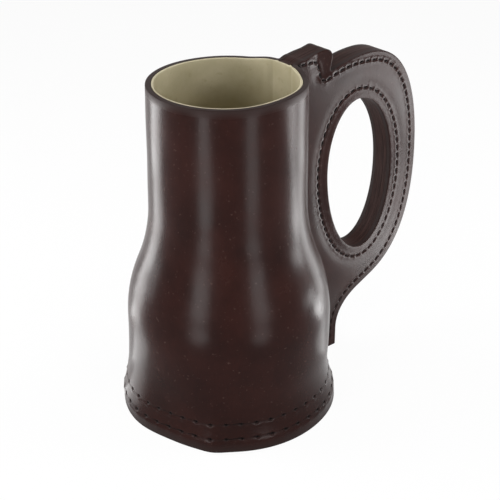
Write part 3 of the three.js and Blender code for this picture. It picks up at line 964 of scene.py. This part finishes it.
def wrap_cheek(side, relief, rows):
    """Points, faces and marks of one cheek, open where it meets its bend."""
    edge = trace(cheek_edge(), OUTLINE_STEP)
    hole = hole_loop(0, OUTLINE_STEP)
    hole.reverse()
    points = []
    painted_shade = []
    edges = []
    faces = []

    def add(p, depth, cut):
        height, seam = relief.at(p)
        # The seam mark here also gets painted shade along the cheek's side of the crease where it meets
        # the bend
        fold_shade = hump(p.x - bend_x(p.y), FOLD_SHADE_REACH)
        y = CHEEK_FACE - depth + height * (1 - depth / LEATHER)
        points.append(Vector((p.x, side * y, p.y)))
        painted_shade.append(0.0 if cut else max(seam, fold_shade))
        edges.append(cut)

    profile = edge_profile()
    rings = {}
    for name, line, closed in (("edge", edge, False), ("hole", hole, True)):
        rings[name] = [inset(line, e, closed) for e, _ in profile]
        start = len(points)
        for ring, (_, depth) in zip(rings[name], profile):
            for p in ring:
                add(p, depth, smooth(depth / FACE_ROUND) if depth < FACE_ROUND else 1.0)
        faces += ring_faces(start, len(profile), len(line), closed)
    lift = rim_height(bend_x(BODY_HEIGHT)) - BODY_HEIGHT
    section = wall_section()
    for ring, depth in ((0, 0.0), (len(profile) - 1, LEATHER)):
        low, high = profile[ring][0], BODY_HEIGHT - profile[ring][0]
        heights = [lifted(z, lift) for z, q, _ in section if q == depth and low < z < high]
        heights.sort(reverse=True)
        border = rings["edge"][ring] + [Vector((bend_x(z), z)) for z in heights]
        loops = [border, rings["hole"][ring]]
        extra = face_grid(relief, loops, rows) if depth == 0 else []
        made, triangles = filled(loops, extra)
        start = len(points)
        for p in made:
            add(p, depth, 0.0 if depth == 0 else 1.0)
        faces += shifted(triangles, start)
    return points, faces, painted_shade, edges


def leather_wrap(relief, rows):
    points, faces, painted_shade, edges = wrap_wall()
    for side in (1, -1):
        start = len(points)
        more, more_faces, more_painted_shade, more_edges = wrap_cheek(side, relief, rows)
        points += more
        faces += shifted(more_faces, start)
        painted_shade += more_painted_shade
        edges += more_edges
    # The seam mark carries painted shade; the edge mark carries the burnished cut edges and the back
    return mesh_object("leather_wrap", points, faces, {"seam": painted_shade, "edge": edges})


# Core plies, each a flat plate with a burnished edge
def core_outline():
    """A ply's outline, from the foot out round the handle to the rim, and down inside the wall."""
    outline = trace(cheek_edge(), OUTLINE_STEP)
    outline.append(Vector((RIM_RADIUS, rim_height(RIM_RADIUS))))
    for z in steps(BODY_HEIGHT + RIM_CLIMB, 0, WALL_CUTS):
        outline.append(Vector((math.sqrt((wall_radius(z) - LEATHER) ** 2 - CORE_HALF ** 2), z)))
    return outline


def core_ply(name, centre_y, shrink):
    outline = core_outline()
    hole = hole_loop(0, OUTLINE_STEP)
    hole.reverse()
    half = LEATHER / 2
    near_face = [(shrink + PLY_ROUND, half), (shrink, half - PLY_ROUND)]
    profile = near_face + [(e, -y) for e, y in reversed(near_face)]
    points = []
    faces = []
    rings = []
    for line in (outline, hole):
        rings.append([inset(line, e, True) for e, _ in profile])
        start = len(points)
        for ring, (_, y) in zip(rings[-1], profile):
            points += [(p.x, centre_y + y, p.y) for p in ring]
        faces += ring_faces(start, len(profile), len(line))
    for place in (0, -1):
        made, triangles = filled([rings[0][place], rings[1][place]], [])
        start = len(points)
        points += [(p.x, centre_y + profile[place][1], p.y) for p in made]
        faces += shifted(triangles, start)
    return mesh_object(name, points, faces)


# Dished base, spun from its section
def base_section():
    """Closed half section of the base, from the axis out over the bend and down the flange, and back."""
    flange_top = BASE_HEIGHT - BASE_BEND
    levels = steps(flange_top, 0, BASE_FLANGE_STEPS)
    edge_x = wall_radius(flange_top) - INNER_EDGE - BASE_BEND

    def side(depth):
        bend = []
        reach = BASE_BEND - depth
        for turn in steps(math.pi / 2, 0, BASE_BEND_STEPS):
            bend.append((edge_x + reach * math.cos(turn), flange_top + reach * math.sin(turn)))
        return bend + [(wall_radius(z) - INNER_EDGE - depth, z) for z in levels[1:]]

    flat = steps(0, edge_x, BASE_FLAT_STEPS)[:-1]
    outer = [(x, BASE_HEIGHT) for x in flat] + side(0.0)
    inner = [(x, BASE_HEIGHT - LEATHER) for x in flat] + side(LEATHER)
    out_x, in_x = outer[-1][0], inner[-1][0]
    foot = [(out_x, BACK_ROUND), (out_x - BACK_ROUND, 0), (in_x + BACK_ROUND, 0), (in_x, BACK_ROUND)]
    return outer[:-1] + foot + inner[-2::-1]


def dished_base():
    section = base_section()
    mesh = bpy.data.meshes.new("dished_base")
    edges = [(i, i + 1) for i in range(len(section) - 1)]
    mesh.from_pydata([(x, 0, z) for x, z in section], edges, [])
    obj = new_object("dished_base", mesh)
    edit(obj)
    bpy.ops.mesh.spin(steps=BASE_TURN_STEPS, angle=2 * math.pi, center=(0, 0, 0), axis=(0, 0, 1))
    seal()
    for vertex in mesh.vertices:
        place = vertex.co
        reach = math.hypot(place.x, place.y)
        if reach > 0:
            turn = math.atan2(place.y, place.x) % (2 * math.pi)
            grown = reach + out_of_round(turn, place.z) * (reach / FOOT_RADIUS) ** BASE_FOLLOW
            vertex.co = (place.x * grown / reach, place.y * grown / reach, place.z)
    return settle(obj)


# Coat inside the cup, rolled from a grid
def coat_half(z):
    """Outer points of the coat on one side of the handle's plane, with the angle of each inner point."""
    radius = wall_radius(z) - INNER_EDGE
    core_side = CORE_HALF + FIT
    core_turn = math.asin(core_side / radius)
    reach = BEND_RADIUS + INNER_EDGE
    start = math.asin((BEND_OFFSET - core_side - RIB_EDGE) / reach)
    end = bend_angle(z)
    made = []
    for turn in steps(0, core_turn, CORE_STEPS):
        made.append((radius * math.cos(turn), radius * math.sin(turn), turn))
    rib_x = bend_x(z) - reach * math.cos(start)
    made.append((rib_x, core_side, core_turn + (end - core_turn) * RIB_CORNER_SHARE))
    for turn, share in zip(steps(start, end, RIB_STEPS), steps(RIB_START_SHARE, 1, RIB_STEPS)):
        x, y = bend_x(z) - reach * math.cos(turn), BEND_OFFSET - reach * math.sin(turn)
        made.append((x, y, core_turn + (end - core_turn) * share))
    for turn in steps(end, math.pi, COAT_TURN_STEPS)[1:]:
        grown = radius + out_of_round(turn, z)
        made.append((grown * math.cos(turn), grown * math.sin(turn), turn))
    return made


def coat_ring(z):
    half = coat_half(z)
    other = [(x, -y, 2 * math.pi - turn) for x, y, turn in reversed(half[1:-1])]
    return half + other


def coat_inner(turn, z):
    """Inside radius of the coat: poured by hand, thin over the seam and creased beside the core."""
    radius = wall_radius(z) - INNER_EDGE - COAT + out_of_round(turn, z)
    place = polar(COAT_LUMPS, turn, z * COAT_LUMPS_UP)
    radius += COAT_WAVER * noise.noise(place)
    radius += COAT_FINE_SHARE * COAT_WAVER * noise.noise(place * COAT_FINE_LUMPS)
    seam = turn if turn < math.pi else turn - 2 * math.pi
    for crease in (bend_angle(z), -bend_angle(z)):
        radius += COAT_CREASE * hump(seam - crease, COAT_CREASE_WIDTH)
        radius -= COAT_RIDGE * hump(seam - crease * COAT_RIDGE_PLACE, COAT_RIDGE_WIDTH)
    return radius


def coat_rows(floor_z, top):
    """Rows of the coat as (kind, value, height), from the middle of its floor round to its underside."""
    foot = floor_z + COAT_FILLET
    head = top - COAT_ROUND
    low = BASE_HEIGHT + FIT
    rows = [("floor", share, floor_z) for share in steps(0, 1, COAT_FLOOR_ROWS)]
    rows += [("fillet", turn, floor_z) for turn in steps(0, math.pi / 2, COAT_FILLET_ROWS)[1:]]
    rows += [("inside", 0.0, z) for z in steps(foot, head, COAT_INSIDE_ROWS)[1:]]
    for turn in steps(0, math.pi / 2, COAT_ROUND_ROWS)[1:]:
        rows.append(("inside", COAT_ROUND * (1 - math.cos(turn)), head + COAT_ROUND * math.sin(turn)))
    rows += [("outside", 0.0, z) for z in steps(top, low, COAT_OUTSIDE_ROWS)]
    return rows + [("under", 0.0, low)]


def cup_coat():
    floor_z = BASE_HEIGHT + FIT + COAT
    top = BODY_HEIGHT - COAT_DROP
    rows = coat_rows(floor_z, top)
    points = []
    for kind, value, z in rows:
        for x, y, turn in coat_ring(min(z, top)):
            wall = coat_inner(turn, max(z, floor_z + COAT_FILLET))
            height = lifted(z, rim_climb(turn))
            if kind == "outside":
                points.append((x, y, height))
                continue
            reach = wall + value
            if kind == "floor":
                reach = (wall - COAT_FILLET) * value
                sag = COAT_SAG * noise.noise(polar(reach, turn, COAT_SAG_LAYER) * COAT_SAG_SCALE)
                height = z + sag * (1 - value)
            elif kind == "fillet":
                reach = wall - COAT_FILLET + COAT_FILLET * math.sin(value)
                height = z + COAT_FILLET * (1 - math.cos(value))
            elif kind == "under":
                reach = 0.0
                height = z
            points.append(polar(reach, turn, height))
    return mesh_object("cup_coat", points, ring_faces(0, len(rows), len(coat_ring(top))))


# Stitches: one is modelled, and copied along each row
def one_stitch(name, length, path):
    """A stitch along +X of three-lobed twisted thread, +Z away from the leather.

    The path goes from its start to its middle, in shares of the stitch's length and in heights.
    """
    bpy.ops.object.select_all(action="DESELECT")
    bpy.ops.mesh.primitive_circle_add(vertices=THREAD_SIDES, radius=THREAD_RADIUS, fill_type="NGON")
    obj = bpy.context.object
    obj.name = name
    for vertex in obj.data.vertices:
        if vertex.index % 2:
            vertex.co *= THREAD_WAIST
    obj.data.transform(Matrix.Rotation(math.pi / 2, 4, "Y"))
    path = path + [(1 - x, z) for x, z in reversed(path)]
    bpy.ops.object.mode_set(mode="EDIT")
    bpy.ops.mesh.select_all(action="SELECT")
    bpy.ops.transform.translate(value=(path[0][0] * length, 0, path[0][1]))
    for (x0, z0), (x1, z1) in zip(path, path[1:]):
        step = Vector(((x1 - x0) * length, 0, z1 - z0))
        bpy.ops.mesh.extrude_region_move(TRANSFORM_OT_translate={"value": step})
        centre = (x1 * length, 0, z1)
        bpy.ops.transform.rotate(value=THREAD_TWIST, orient_axis="X", center_override=centre)
    bpy.ops.mesh.select_all(action="SELECT")
    bpy.ops.mesh.normals_make_consistent(inside=False)
    bpy.ops.object.mode_set(mode="OBJECT")
    bpy.ops.object.shade_smooth()
    return obj


def sewn_row(name, stitch, length, places):
    """Copies of a stitch of that length at (start, end, outward) places, joined into one row."""
    joined = bmesh.new()
    for start, end, outward in places:
        along = (end - start).normalized()
        across = outward.cross(along).normalized()
        up = along.cross(across)
        slant = Matrix.Rotation(THREAD_SLANT, 3, up)
        along, across = slant @ along, slant @ across
        stretch = (end - start).length / length
        laid = Matrix((along * stretch, across, up)).transposed().to_4x4()
        copy = stitch.data.copy()
        copy.transform(Matrix.Translation(start) @ laid)
        joined.from_mesh(copy)
        bpy.data.meshes.remove(copy)
    mesh = bpy.data.meshes.new(name)
    joined.to_mesh(mesh)
    joined.free()
    mesh.transform(TO_FRAME)
    obj = new_object(name, mesh)
    only(obj)
    bpy.ops.object.shade_smooth()
    return obj


def cheek_places(holes, side, relief):
    """Where the stitches of a cheek row start and end, low in their beds."""
    outward = Vector((0, side, 0))
    ends = []
    for p in holes:
        face = CHEEK_FACE + relief.ramp(p) * relief.margins(p)
        ends.append(Vector((p.x, side * (face - THREAD_SINK), p.y)))
    return [(a, b, outward) for a, b in zip(ends, ends[1:])]


def base_places(z, depth, inside):
    """Where the stitches of a row round the foot start and end."""
    ends = []
    for share in steps(0, 1, BASE_STITCHES):
        turn = 2 * math.pi * share if inside else wall_turn(share, z)
        ends.append(polar(wall_radius(z) - depth + out_of_round(turn, z), turn, z))
    places = []
    for a, b in zip(ends, ends[1:]):
        outward = Vector((a.x + b.x, a.y + b.y, 0)).normalized()
        places.append((a, b, -outward if inside else outward))
    return places


# Shader helpers
def add_node(tree, kind, inputs=None, **settings):
    made = tree.nodes.new(kind)
    for name, value in settings.items():
        setattr(made, name, value)
    for name, value in (inputs or {}).items():
        feed(tree, made.inputs[name], value)
    return made


def feed(tree, socket, value):
    """Links another node's socket, or sets a plain value."""
    if isinstance(value, bpy.types.NodeSocket):
        tree.links.new(value, socket)
    else:
        socket.default_value = value


def maths(tree, operation, a, b=0.0, clamp=False):
    made = add_node(tree, "ShaderNodeMath", operation=operation, use_clamp=clamp)
    feed(tree, made.inputs[0], a)
    feed(tree, made.inputs[1], b)
    return made.outputs[0]


def spread(tree, value, given=(0.0, 1.0), wanted=(0.0, 1.0)):
    """Maps a value from one range to another, held at its ends."""
    inputs = {"Value": value}
    for kind, ends in (("From", given), ("To", wanted)):
        inputs[f"{kind} Min"], inputs[f"{kind} Max"] = ends
    return add_node(tree, "ShaderNodeMapRange", inputs, clamp=True).outputs["Result"]


def noise_of(tree, place, scale, detail, roughness=0.5):
    inputs = {"Vector": place, "Scale": scale, "Detail": detail, "Roughness": roughness}
    return add_node(tree, "ShaderNodeTexNoise", inputs).outputs["Fac"]


def blend_colour(tree, factor, a, b):
    """Mix of two colours, by the numbers that the node's colour sockets have."""
    made = add_node(tree, "ShaderNodeMix", data_type="RGBA")
    feed(tree, made.inputs[0], factor)
    feed(tree, made.inputs[6], a)
    feed(tree, made.inputs[7], b)
    return made.outputs[2]


def new_material(name):
    material = bpy.data.materials.new(name)
    material.use_nodes = True
    tree = material.node_tree
    return material, tree, tree.nodes["Principled BSDF"]


def object_place(tree):
    return add_node(tree, "ShaderNodeTexCoord").outputs["Object"]


def mark(tree, name):
    return add_node(tree, "ShaderNodeAttribute", attribute_name=name).outputs["Fac"]


def colour(seen):
    """A colour as seen on screen, as the shader's linear values."""
    linear = [((c / 255 + 0.055) / 1.055) ** 2.4 for c in seen]
    return (*linear, 1.0)


def dress(tree, shader, base, rough, height, bump, gloss):
    """Sets a finish's colour, roughness, bump from a height, and specular level."""
    feed(tree, shader.inputs["Base Color"], base)
    feed(tree, shader.inputs["Roughness"], rough)
    inputs = {"Strength": bump[0], "Distance": bump[1], "Height": height}
    feed(tree, shader.inputs["Normal"], add_node(tree, "ShaderNodeBump", inputs).outputs["Normal"])
    shader.inputs["Specular IOR Level"].default_value = gloss


def hide_grain():
    """Shared group: the fine grain, pores and cloudy tone of hide."""
    tree = bpy.data.node_groups.new("hide_grain", "ShaderNodeTree")
    tree.interface.new_socket("Vector", in_out="INPUT", socket_type="NodeSocketVector")
    cell = tree.interface.new_socket("Cells per Metre", in_out="INPUT", socket_type="NodeSocketFloat")
    cell.default_value = GRAIN_CELLS
    for name in ("Height", "Pores", "Tone"):
        tree.interface.new_socket(name, in_out="OUTPUT", socket_type="NodeSocketFloat")
    start = tree.nodes.new("NodeGroupInput")
    end = tree.nodes.new("NodeGroupOutput")
    place = start.outputs["Vector"]
    cells = start.outputs["Cells per Metre"]
    bead = add_node(tree, "ShaderNodeTexVoronoi", {"Vector": place, "Scale": cells}, feature="F1")
    crease = noise_of(tree, place, maths(tree, "MULTIPLY", cells, GRAIN_CREASES), detail=4)
    height = maths(tree, "ADD", maths(tree, "MULTIPLY", bead.outputs["Distance"], GRAIN_BEAD), crease)
    speck = noise_of(tree, place, PORE_SCALE, detail=2)
    tree.links.new(height, end.inputs["Height"])
    tree.links.new(spread(tree, speck, PORE_RANGE), end.inputs["Pores"])
    tone = noise_of(tree, place, TONE_SCALE, detail=6, roughness=TONE_ROUGHNESS)
    tree.links.new(tone, end.inputs["Tone"])
    return tree


def leather_material(grain):
    """Waxed brown hide, burnished nearly black on its cut edges, with painted shade in its stitch beds,
    pits and creases.
    """
    material, tree, shader = new_material("waxed_hide")
    hide = add_node(tree, "ShaderNodeGroup", node_tree=grain)
    feed(tree, hide.inputs["Vector"], object_place(tree))
    tone = spread(tree, hide.outputs["Tone"], TONE_RANGE)
    seam = mark(tree, "seam")
    edge = mark(tree, "edge")
    brown = blend_colour(tree, tone, colour(HIDE_DARK), colour(HIDE_LIGHT))
    specks = maths(tree, "MULTIPLY", hide.outputs["Pores"], SPECK_SHARE)
    brown = blend_colour(tree, specks, brown, colour(HIDE_SPECK))
    brown = blend_colour(tree, edge, brown, colour(HIDE_EDGE))
    # Painted shade: the seam mark darkens stitch beds, pits, creases and the crease by the bend to near
    # black
    brown = blend_colour(tree, seam, brown, colour(HIDE_PAINTED_SHADE))
    rough = spread(tree, tone, wanted=HIDE_ROUGHNESS)
    for dull_mask, dullness in ((seam, SEAM_DULLNESS), (edge, EDGE_DULLNESS)):
        rough = maths(tree, "ADD", rough, maths(tree, "MULTIPLY", dull_mask, dullness), clamp=True)
    dress(tree, shader, brown, rough, hide.outputs["Height"], HIDE_BUMP, HIDE_GLOSS)
    return material


def cut_material(grain):
    """Burnished cut edge: dark, with streaks along each ply."""
    material, tree, shader = new_material("burnished_edge")
    place = object_place(tree)
    hide = add_node(tree, "ShaderNodeGroup", node_tree=grain)
    feed(tree, hide.inputs["Vector"], place)
    squeeze = add_node(tree, "ShaderNodeMapping", {"Vector": place, "Scale": STREAK_SQUEEZE})
    streak = noise_of(tree, squeeze.outputs[0], STREAK_SCALE, detail=5)
    brown = blend_colour(tree, spread(tree, streak, STREAK_RANGE), colour(CUT_DARK), colour(CUT_LIGHT))
    rough = spread(tree, hide.outputs["Tone"], TONE_RANGE, CUT_ROUGHNESS)
    dress(tree, shader, brown, rough, streak, CUT_BUMP, CUT_GLOSS)
    return material


def coat_material():
    """Poured cream coat, a little uneven and stained, with painted shade that turns it darker and
    yellower lower in the cup.
    """
    material, tree, shader = new_material("cream_coat")
    place = object_place(tree)
    cloud = noise_of(tree, place, CLOUD_SCALE, detail=6, roughness=CLOUD_ROUGHNESS)
    share = spread(tree, cloud, TONE_RANGE)
    cream = blend_colour(tree, share, colour(CREAM_DARK), colour(CREAM_LIGHT))
    height = add_node(tree, "ShaderNodeSeparateXYZ", {"Vector": place}).outputs["Z"]
    # Painted shade: darker and yellower further down the cup
    painted_depth_shade = spread(tree, height, (PAINTED_SHADE_START, PAINTED_SHADE_END), (0.0, PAINTED_SHADE_SHARE))
    cream = blend_colour(tree, painted_depth_shade, cream, colour(CREAM_PAINTED_SHADE))
    stain = spread(tree, noise_of(tree, place, SPOT_SCALE, detail=3), SPOT_RANGE)
    cream = blend_colour(tree, maths(tree, "MULTIPLY", stain, SPOT_SHARE), cream, colour(CREAM_SPOT))
    rough = spread(tree, share, wanted=CREAM_ROUGHNESS)
    dress(tree, shader, cream, rough, cloud, CREAM_BUMP, CREAM_GLOSS)
    return material


def thread_material():
    """Waxed dark thread, with paler fibres here and there."""
    material, tree, shader = new_material("waxed_thread")
    fibre = noise_of(tree, object_place(tree), FIBRE_SCALE, detail=3)
    share = spread(tree, fibre, FIBRE_RANGE)
    brown = blend_colour(tree, share, colour(THREAD_DARK), colour(THREAD_LIGHT))
    rough = spread(tree, share, wanted=THREAD_ROUGHNESS)
    dress(tree, shader, brown, rough, fibre, THREAD_BUMP, THREAD_GLOSS)
    return material


# Studio
def seen_directly(tree):
    """1 for rays that show a surface as it is: straight, in a mirror or through glass."""
    rays = add_node(tree, "ShaderNodeLightPath")
    straight = maths(tree, "ADD", rays.outputs["Is Camera Ray"], rays.outputs["Is Glossy Ray"])
    return maths(tree, "ADD", straight, rays.outputs["Is Transmission Ray"], clamp=True)


def mix_on(tree, output, share, plain, shown):
    """Feeds an output with a plain shader and, by a share, the shader that is shown."""
    both = add_node(tree, "ShaderNodeMixShader")
    feed(tree, both.inputs[0], share)
    feed(tree, both.inputs[1], plain.outputs[0])
    feed(tree, both.inputs[2], shown.outputs[0])
    feed(tree, tree.nodes[output].inputs["Surface"], both.outputs[0])


def pale_floor():
    bpy.ops.object.select_all(action="DESELECT")
    bpy.ops.mesh.primitive_plane_add(size=FLOOR_SIZE)
    floor = bpy.context.object
    floor.name = "floor"
    material, tree, shader = new_material("pale_floor")
    shader.inputs["Base Color"].default_value = FLOOR_TONE
    shader.inputs["Roughness"].default_value = FLOOR_ROUGHNESS
    shader.inputs["Specular IOR Level"].default_value = 0.0
    glow = add_node(tree, "ShaderNodeEmission", {"Color": WHITE, "Strength": 1.0})
    share = maths(tree, "MULTIPLY", seen_directly(tree), FLOOR_GLOW)
    mix_on(tree, "Material Output", share, shader, glow)
    floor.data.materials.append(material)


def pale_world():
    world = bpy.data.worlds.new("studio")
    bpy.context.scene.world = world
    world.use_nodes = True
    tree = world.node_tree
    sky = tree.nodes["Background"]
    sky.inputs["Color"].default_value = WHITE
    sky.inputs["Strength"].default_value = SKY_STRENGTH
    seen = add_node(tree, "ShaderNodeBackground", {"Color": WHITE, "Strength": 1.0})
    mix_on(tree, "World Output", seen_directly(tree), sky, seen)


def ground_direction(azimuth):
    """Level direction at an angle in degrees to the right of the camera, seen from the body."""
    towards = math.atan2(CAMERA_PLACE.y, CAMERA_PLACE.x) + math.radians(azimuth)
    return polar(1, towards)


def panel(name, middle, width, length, along, facing, radiance):
    """Area lamp with its length along one direction, facing another, unseen by the camera."""
    data = bpy.data.lights.new(name, "AREA")
    data.shape = "RECTANGLE"
    data.size = width
    data.size_y = length
    data.energy = radiance * math.pi * width * length
    lamp = new_object(name, data)
    lamp.location = TO_FRAME @ middle
    back = -facing
    lamp.rotation_euler = Matrix((along.cross(back), along, back)).transposed().to_euler()
    lamp.visible_camera = False


def floor_streak(name, start, azimuth, parts):
    """Lamps on the floor, end to end and away from the body, given as (near, far, width, radiance)."""
    away = ground_direction(azimuth)
    for i, (near, far, width, radiance) in enumerate(parts):
        middle = start + away * (near + far) / 2
        place = Vector((middle.x, middle.y, PANEL_LIFT))
        panel(f"{name}_{i}", place, width, far - near, away, UP, radiance)


def upright_panel(name, azimuth, distance, low, high, width, radiance):
    """Lamp that stands upright between two heights and faces the body axis."""
    away = ground_direction(azimuth)
    middle = away * distance + UP * (low + high) / 2
    panel(name, middle, width, high - low, UP, -away, radiance)


def softbox(name, place, size, along, radiance):
    """Square lamp that faces the foot of the body axis."""
    panel(name, place, size, size, along, -place.normalized(), radiance)


def studio():
    pale_floor()
    pale_world()
    for name, azimuth, radius, parts in WALL_LAMPS:
        floor_streak(name, ground_direction(azimuth / 2) * radius, azimuth, parts)
    for name, shift, parts in CHEEK_LAMPS:
        start = Vector((HOLE_X + shift, -CHEEK_FACE - CHEEK_LAMP_GAP, 0))
        floor_streak(name, start, CHEEK_AZIMUTH, parts)
    for lamp in UPRIGHT_LAMPS:
        upright_panel(*lamp)
    place = ground_direction(0) * FRONT_REACH + UP * FRONT_HEIGHT
    softbox("front_softbox", place, FRONT_SIZE, ground_direction(90), FRONT_RADIANCE)
    for name, azimuth in (("left", -SIDE_AZIMUTH), ("right", SIDE_AZIMUTH)):
        place = ground_direction(azimuth) * SIDE_REACH + UP * SIDE_HEIGHT
        softbox(f"{name}_softbox", place, SIDE_SIZE, ground_direction(azimuth + 90), SIDE_RADIANCE)
    softbox("top_softbox", UP * TOP_HEIGHT, TOP_SIZE, Vector((0, 1, 0)), TOP_RADIANCE)


def photo_camera():
    data = bpy.data.cameras.new("photo_camera")
    data.sensor_width = SENSOR
    data.lens = CAMERA_LENS
    camera = new_object("photo_camera", data)
    camera.location = TO_FRAME @ CAMERA_PLACE
    camera.rotation_euler = CAMERA_FORWARD.to_track_quat("-Z", "Y").to_euler()
    bpy.context.scene.camera = camera


def build():
    grain = hide_grain()
    leather = leather_material(grain)
    cut = cut_material(grain)
    thread = thread_material()
    rows = {"edge": edge_row(), "hole": hole_row()}
    relief = CheekRelief(list(rows.values()))
    wrap = leather_wrap(relief, list(rows.values()))
    seat(wrap, "leather", leather, "body_wrap")
    for i, (name, shrink) in enumerate(PLY_SHRINK.items()):
        centre_y = (1 - i) * (LEATHER + GLUE_LINE)
        seat(core_ply(f"core_ply_{name}", centre_y, shrink), "cut_leather", cut, f"handle_core_{name}")
    seat(dished_base(), "leather", cut, "base_cup")
    seat(cup_coat(), "lining", coat_material(), "lining")
    handle_stitch = one_stitch("handle_stitch", HANDLE_PITCH, HANDLE_PATH)
    base_stitch = one_stitch("base_stitch", BASE_PITCH, BASE_PATH)
    for name, side in (("left", 1), ("right", -1)):
        for kind, holes in rows.items():
            places = cheek_places(holes, side, relief)
            row = sewn_row(f"{kind}_stitches_{name}", handle_stitch, HANDLE_PITCH, places)
            seat(row, "thread", thread, f"{kind}_seam_thread_{name}")
    for name, z in (("upper", UPPER_ROW), ("lower", LOWER_ROW)):
        for face, depth in (("outer", BASE_SINK), ("inner", INNER_EDGE + LEATHER)):
            places = base_places(z, depth, face == "inner")
            row = sewn_row(f"base_{name}_stitches_{face}", base_stitch, BASE_PITCH, places)
            seat(row, "thread", thread, f"base_{name}_thread_{face}")
    bpy.data.objects.remove(handle_stitch)
    bpy.data.objects.remove(base_stitch)


build()
studio()
photo_camera()
bpy.context.scene.view_settings.view_transform = "Standard"
